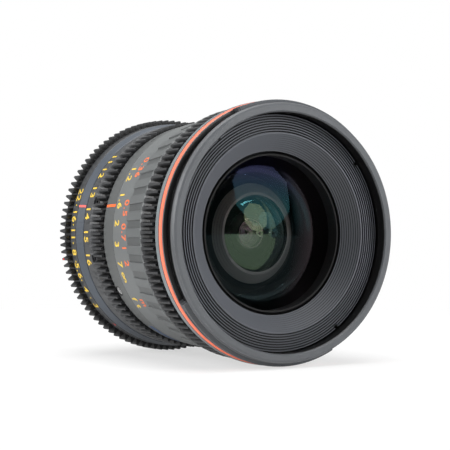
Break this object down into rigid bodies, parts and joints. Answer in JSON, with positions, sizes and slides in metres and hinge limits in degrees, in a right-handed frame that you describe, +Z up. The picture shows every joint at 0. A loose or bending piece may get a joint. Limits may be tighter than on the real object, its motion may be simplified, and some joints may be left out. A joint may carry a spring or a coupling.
{
  "type": "cinema zoom lens",
  "caption": "Wide-angle cinema zoom lens with toothed focus, zoom and iris rings, a ribbed light trap round a bulging front glass, a sliding focus group and a lobed bayonet camera mount.",
  "frame": {"origin": "centre of the camera seat, where the lens axis crosses the seat face", "axes": "+Y along the lens axis towards the camera, so the front glass looks along -Y; +Z up, with the lens lying level and the scales turned to the -X side as pictured; +X to the right seen from the front"},
  "size_m": [0.0856, 0.1017, 0.0856],
  "materials": {
    "charcoal_anodised": "hard anodised, satin, lightly scuffed",
    "accent_red": "satin paint",
    "barrel_grey": "bead-blasted, satin anodised",
    "gear_black": "hard anodised, satin",
    "index_blue_grey": "satin anodised",
    "inner_black": "matte black anodised",
    "baffle_black": "matte, anti-reflection ridges",
    "coated_glass": "multi-coated, polished",
    "cell_aluminium": "turned",
    "roller_brass": "turned",
    "screw_steel": "blackened",
    "mount_steel": "fine-turned stainless",
    "blade_black": "dry-film coated spring steel"
  },
  "bodies": {
    "barrel": {"front_ring": "charcoal_anodised", "accent_ring": "accent_red", "focus_stop_ring": "inner_black", "main_barrel": "barrel_grey", "barrel_screws": "screw_steel", "guide_tube": "cell_aluminium", "cam_clip": "inner_black", "index_ring": "index_blue_grey", "rear_housing": "gear_black", "lens_mount": "mount_steel", "mount_shim": "roller_brass", "mount_screws": "mount_steel", "rear_baffle": "inner_black", "rear_cell": "inner_black", "rear_element_1": "coated_glass", "rear_element_2": "coated_glass", "rear_retainers": "inner_black", "iris_case": "inner_black", "iris_clip": "inner_black"},
    "focus_control": {"focus_ring": "barrel_grey", "focus_helicoid": "cell_aluminium"},
    "focus_group": {"front_cell": "inner_black", "front_baffle": "baffle_black", "front_retainer": "inner_black", "front_element": "coated_glass", "second_element": "coated_glass", "third_element": "coated_glass", "second_spacer": "inner_black", "second_retainer": "baffle_black", "rear_lock_ring": "inner_black", "focus_pins": "roller_brass"},
    "zoom_control": {"zoom_ring": "gear_black", "cam_tube": "cell_aluminium", "zoom_key": "roller_brass", "zoom_grub_screws": "screw_steel"},
    "variator": {"variator_cell": "inner_black", "variator_element_1": "coated_glass", "variator_element_2": "coated_glass", "variator_retainers": "inner_black", "variator_pins": "roller_brass"},
    "relay": {"relay_cell": "inner_black", "relay_element_1": "coated_glass", "relay_element_2": "coated_glass", "relay_retainers": "inner_black", "relay_pins": "roller_brass"},
    "iris_control": {"iris_ring": "gear_black", "iris_lever": "inner_black", "iris_drive_ring": "inner_black"},
    "iris_blade_1": {"iris_blade_1": "blade_black"},
    "iris_blade_2": {"iris_blade_2": "blade_black"},
    "iris_blade_3": {"iris_blade_3": "blade_black"},
    "iris_blade_4": {"iris_blade_4": "blade_black"},
    "iris_blade_5": {"iris_blade_5": "blade_black"},
    "iris_blade_6": {"iris_blade_6": "blade_black"},
    "iris_blade_7": {"iris_blade_7": "blade_black"},
    "iris_blade_8": {"iris_blade_8": "blade_black"},
    "iris_blade_9": {"iris_blade_9": "blade_black"}
  },
  "joints": [
    {"name": "focus_turn", "type": "hinge", "parent": "barrel", "child": "focus_control", "pos_m": [0, -0.0627, 0], "axis": [0, 1, 0], "range_deg": [-18, 35]},
    {"name": "zoom_turn", "type": "hinge", "parent": "barrel", "child": "zoom_control", "pos_m": [0, -0.0302, 0], "axis": [0, 1, 0], "range_deg": [-27.5, 26.5]},
    {"name": "iris_turn", "type": "hinge", "parent": "barrel", "child": "iris_control", "pos_m": [0, -0.0137, 0], "axis": [0, 1, 0], "range_deg": [-6, 52.5]},
    {"name": "focus_slide", "type": "slide", "parent": "barrel", "child": "focus_group", "axis": [0, 1, 0], "range_m": [-0.00088, 0.0017]},
    {"name": "variator_slide", "type": "slide", "parent": "barrel", "child": "variator", "axis": [0, 1, 0], "range_m": [-0.0032, 0.00332]},
    {"name": "relay_slide", "type": "slide", "parent": "barrel", "child": "relay", "axis": [0, 1, 0], "range_m": [-0.00214, 0.00222]},
    {"name": "blade_1_pivot", "type": "hinge", "parent": "barrel", "child": "iris_blade_1", "pos_m": [0.0162, -0.037, 0], "axis": [0, 1, 0], "range_deg": [-3.3, 28.4]},
    {"name": "blade_2_pivot", "type": "hinge", "parent": "barrel", "child": "iris_blade_2", "pos_m": [0.01241, -0.037, 0.01041], "axis": [0, 1, 0], "range_deg": [-3.3, 28.4]},
    {"name": "blade_3_pivot", "type": "hinge", "parent": "barrel", "child": "iris_blade_3", "pos_m": [0.00281, -0.037, 0.01595], "axis": [0, 1, 0], "range_deg": [-3.3, 28.4]},
    {"name": "blade_4_pivot", "type": "hinge", "parent": "barrel", "child": "iris_blade_4", "pos_m": [-0.0081, -0.037, 0.01403], "axis": [0, 1, 0], "range_deg": [-3.3, 28.4]},
    {"name": "blade_5_pivot", "type": "hinge", "parent": "barrel", "child": "iris_blade_5", "pos_m": [-0.01522, -0.037, 0.00554], "axis": [0, 1, 0], "range_deg": [-3.3, 28.4]},
    {"name": "blade_6_pivot", "type": "hinge", "parent": "barrel", "child": "iris_blade_6", "pos_m": [-0.01522, -0.037, -0.00554], "axis": [0, 1, 0], "range_deg": [-3.3, 28.4]},
    {"name": "blade_7_pivot", "type": "hinge", "parent": "barrel", "child": "iris_blade_7", "pos_m": [-0.0081, -0.037, -0.01403], "axis": [0, 1, 0], "range_deg": [-3.3, 28.4]},
    {"name": "blade_8_pivot", "type": "hinge", "parent": "barrel", "child": "iris_blade_8", "pos_m": [0.00281, -0.037, -0.01595], "axis": [0, 1, 0], "range_deg": [-3.3, 28.4]},
    {"name": "blade_9_pivot", "type": "hinge", "parent": "barrel", "child": "iris_blade_9", "pos_m": [0.01241, -0.037, -0.01041], "axis": [0, 1, 0], "range_deg": [-3.3, 28.4]}
  ],
  "couplings": [
    {"joint": "focus_slide", "follows": "focus_turn", "m_per_rad": 0.0027502},
    {"joint": "variator_slide", "follows": "zoom_turn", "m_per_rad": -0.0068755},
    {"joint": "relay_slide", "follows": "zoom_turn", "m_per_rad": -0.0045837},
    {"joint": "blade_1_pivot", "follows": "iris_turn", "ratio": 0.54},
    {"joint": "blade_2_pivot", "follows": "iris_turn", "ratio": 0.54},
    {"joint": "blade_3_pivot", "follows": "iris_turn", "ratio": 0.54},
    {"joint": "blade_4_pivot", "follows": "iris_turn", "ratio": 0.54},
    {"joint": "blade_5_pivot", "follows": "iris_turn", "ratio": 0.54},
    {"joint": "blade_6_pivot", "follows": "iris_turn", "ratio": 0.54},
    {"joint": "blade_7_pivot", "follows": "iris_turn", "ratio": 0.54},
    {"joint": "blade_8_pivot", "follows": "iris_turn", "ratio": 0.54},
    {"joint": "blade_9_pivot", "follows": "iris_turn", "ratio": 0.54}
  ]
}
